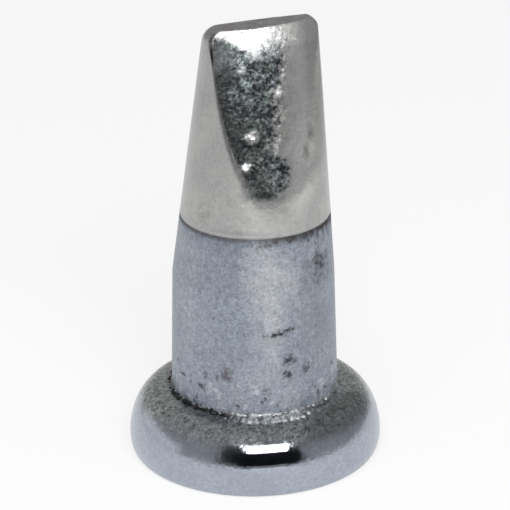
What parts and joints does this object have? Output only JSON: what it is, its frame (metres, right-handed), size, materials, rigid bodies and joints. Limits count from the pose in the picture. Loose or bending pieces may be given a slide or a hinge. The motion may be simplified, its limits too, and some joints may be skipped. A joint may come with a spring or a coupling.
{
  "type": "soldering iron tip",
  "caption": "Slip-on chisel tip for a soldering iron, with a domed flange, a plated barrel, a blind heater bore and a tinned blade ground on both sides.",
  "frame": {"origin": "centre of the flange's flat underside, which seats on the iron", "axes": "+Z along the tip towards the working edge, +X along the width of the blade, the facets face +Y and -Y"},
  "size_m": [0.0074, 0.0074, 0.013],
  "materials": {
    "plated_copper": "satin plated barrel and flange, bright tinned blade, lightly stained"
  },
  "bodies": {
    "root": {"soldering_tip": "plated_copper"}
  },
  "joints": []
}
